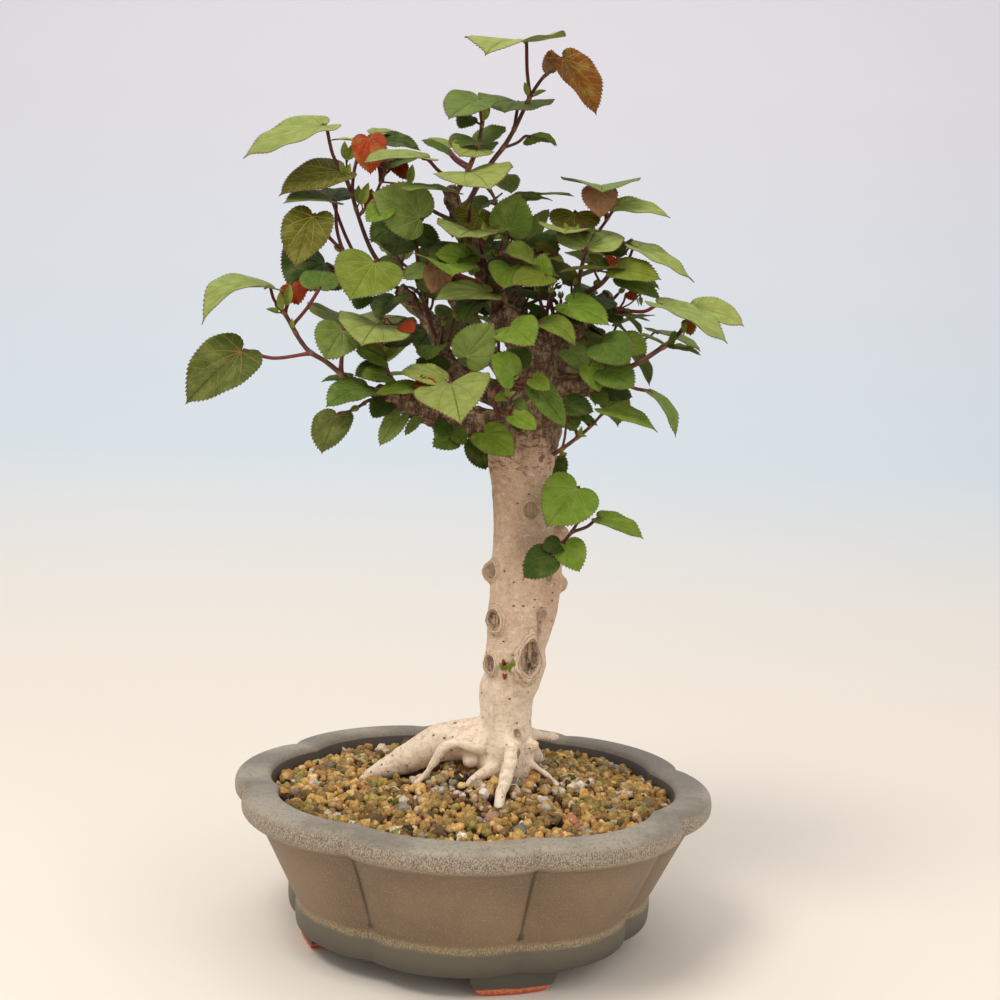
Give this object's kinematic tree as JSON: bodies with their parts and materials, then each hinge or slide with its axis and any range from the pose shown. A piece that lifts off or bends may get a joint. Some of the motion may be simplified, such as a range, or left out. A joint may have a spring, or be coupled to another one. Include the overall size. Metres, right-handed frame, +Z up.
{
  "type": "sea hibiscus bonsai",
  "caption": "Sea hibiscus grown as a small informal upright tree, with surface roots and heart-shaped leaves, in a round lobed stoneware bowl filled with granular soil.",
  "frame": {"origin": "on the surface that the feet stand on, under the middle of the whole tree's footprint", "axes": "+Z up along the trunk, +X to the right and +Y to the back as the tree is seen from its front"},
  "size_m": [0.2684, 0.2436, 0.4554],
  "materials": {
    "glaze": "semi-matt speckled stoneware glaze, taupe brown",
    "soil": "rough granular earth, ochre",
    "bark": "smooth pale bark with small brown marks",
    "plastic": "moulded black mesh",
    "leaf": "soft satin leaf skin, green"
  },
  "bodies": {
    "root": {"pot": "glaze", "soil": "soil", "trunk": "bark", "drain_mesh_left": "plastic", "drain_mesh_right": "plastic", "shoot_top": "leaf", "shoot_crown": "leaf", "shoot_upper_left": "leaf", "shoot_bronze": "leaf", "shoot_left": "leaf", "shoot_left_inner": "leaf", "shoot_front_left": "leaf", "shoot_low_left": "leaf", "shoot_low": "leaf", "shoot_under": "leaf", "shoot_trunk_left": "leaf", "shoot_trunk_right": "leaf", "shoot_front": "leaf", "shoot_front_high": "leaf", "shoot_middle_left": "leaf", "shoot_dark_stem": "leaf", "shoot_leader": "leaf", "shoot_middle": "leaf", "shoot_right_top": "leaf", "shoot_right_upper": "leaf", "shoot_right_middle": "leaf", "shoot_far_right": "leaf", "shoot_right_low": "leaf", "shoot_right_inner": "leaf", "shoot_low_right": "leaf", "shoot_trunk": "leaf", "shoot_back_left": "leaf", "shoot_back_left_low": "leaf", "shoot_back_low_left": "leaf", "shoot_back_top": "leaf", "shoot_back_middle": "leaf", "shoot_back_right": "leaf", "shoot_back_right_low": "leaf", "shoot_back_low_right": "leaf"}
  },
  "joints": []
}
